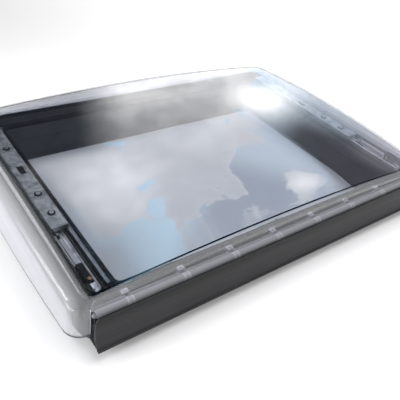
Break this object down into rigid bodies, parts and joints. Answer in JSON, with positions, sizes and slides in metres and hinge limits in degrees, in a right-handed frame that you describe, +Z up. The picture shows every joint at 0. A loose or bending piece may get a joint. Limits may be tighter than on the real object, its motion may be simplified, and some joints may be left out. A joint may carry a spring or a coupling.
{
  "type": "roof skylight",
  "caption": "Hinged roof skylight: clear arched double dome on a dark well frame, with a black hinge strip, side stays on guide rails and a hidden crank drive.",
  "frame": {"origin": "middle of the roof cut-out, on the roof plane under the flange", "axes": "+X along the hinge, +Y from the hinge to the opening edge, +Z up out of the roof"},
  "size_m": [0.8818, 0.6278, 0.134],
  "materials": {
    "frame_plastic": "fine grain",
    "seal_rubber": "matt",
    "band_metal": "satin",
    "strip_black": "matt black",
    "screw_steel": "plated",
    "rod_steel": "drawn",
    "rail_zinc": "galvanised",
    "cover_zinc": "galvanised, mottled",
    "washer_black": "matt",
    "acrylic_dome": "clear, polished",
    "acrylic_pane": "clear, polished",
    "acrylic_lug": "clear, moulded",
    "acrylic_hood": "opal, extruded",
    "bracket_black": "matt",
    "rivet_copper": "copper-plated",
    "arm_steel": "brushed",
    "shoe_black": "matt",
    "housing_grey": "fine grain",
    "bush_white": "matt",
    "knob_black": "satin"
  },
  "bodies": {
    "frame": {"outer_frame": "frame_plastic", "frame_gasket": "seal_rubber", "well_seal": "seal_rubber", "seal_retainer": "band_metal", "hinge_strip": "strip_black", "strip_screws": "screw_steel", "hinge_rod": "rod_steel", "rod_clips": "rod_steel", "left_guide_rail": "rail_zinc", "right_guide_rail": "rail_zinc", "left_rail_cover": "cover_zinc", "right_rail_cover": "cover_zinc", "cover_spacers": "rail_zinc", "cover_washers": "washer_black", "cover_screws": "screw_steel", "crank_housing": "housing_grey", "housing_screws": "screw_steel", "shaft_bushes": "bush_white"},
    "dome": {"outer_dome": "acrylic_dome", "inner_pane": "acrylic_pane", "hinge_hood": "acrylic_hood", "hinge_lugs": "acrylic_lug", "lug_screws": "screw_steel", "arm_brackets": "bracket_black", "bracket_pins": "rod_steel", "bracket_rivets": "rivet_copper"},
    "left_arm": {"left_stay_arm": "arm_steel"},
    "right_arm": {"right_stay_arm": "arm_steel"},
    "left_slider": {"left_shoe": "shoe_black", "left_shoe_pin": "rod_steel"},
    "right_slider": {"right_shoe": "shoe_black", "right_shoe_pin": "rod_steel"},
    "shaft": {"cross_shaft": "rod_steel", "cable_drums": "shoe_black"},
    "crank": {"crank_arm": "housing_grey", "knob_pin": "rod_steel"},
    "knob": {"crank_knob": "knob_black"}
  },
  "joints": [
    {"name": "dome_tilt", "type": "hinge", "parent": "frame", "child": "dome", "pos_m": [0, -0.2825, 0.067], "axis": [1, 0, 0], "range_deg": [0, 45]},
    {"name": "left_arm_pivot", "type": "hinge", "parent": "dome", "child": "left_arm", "pos_m": [-0.38125, -0.1985, 0.067], "axis": [1, 0, 0], "range_deg": [-90, 0]},
    {"name": "left_shoe_pivot", "type": "hinge", "parent": "left_arm", "child": "left_slider", "pos_m": [-0.38125, -0.1145, 0.067], "axis": [1, 0, 0], "range_deg": [0, 45]},
    {"name": "right_arm_pivot", "type": "hinge", "parent": "dome", "child": "right_arm", "pos_m": [0.38125, -0.1985, 0.067], "axis": [1, 0, 0], "range_deg": [-90, 0]},
    {"name": "right_shoe_pivot", "type": "hinge", "parent": "right_arm", "child": "right_slider", "pos_m": [0.38125, -0.1145, 0.067], "axis": [1, 0, 0], "range_deg": [0, 45]},
    {"name": "shaft_turn", "type": "hinge", "parent": "frame", "child": "shaft", "pos_m": [0, -0.226, 0.026], "axis": [1, 0, 0], "range_deg": [0, 337.5]},
    {"name": "crank_turn", "type": "hinge", "parent": "frame", "child": "crank", "pos_m": [0, -0.2165, 0.004], "axis": [0, 1, 0], "range_deg": [0, 1350]},
    {"name": "knob_spin", "type": "hinge", "parent": "crank", "child": "knob", "pos_m": [0.048, -0.1985, 0.004], "axis": [0, 1, 0], "continuous": true}
  ],
  "couplings": [
    {"joint": "left_arm_pivot", "follows": "dome_tilt", "ratio": -2},
    {"joint": "left_shoe_pivot", "follows": "dome_tilt", "ratio": 1},
    {"joint": "right_arm_pivot", "follows": "dome_tilt", "ratio": -2},
    {"joint": "right_shoe_pivot", "follows": "dome_tilt", "ratio": 1},
    {"joint": "shaft_turn", "follows": "dome_tilt", "ratio": 7.5},
    {"joint": "crank_turn", "follows": "dome_tilt", "ratio": 30}
  ]
}
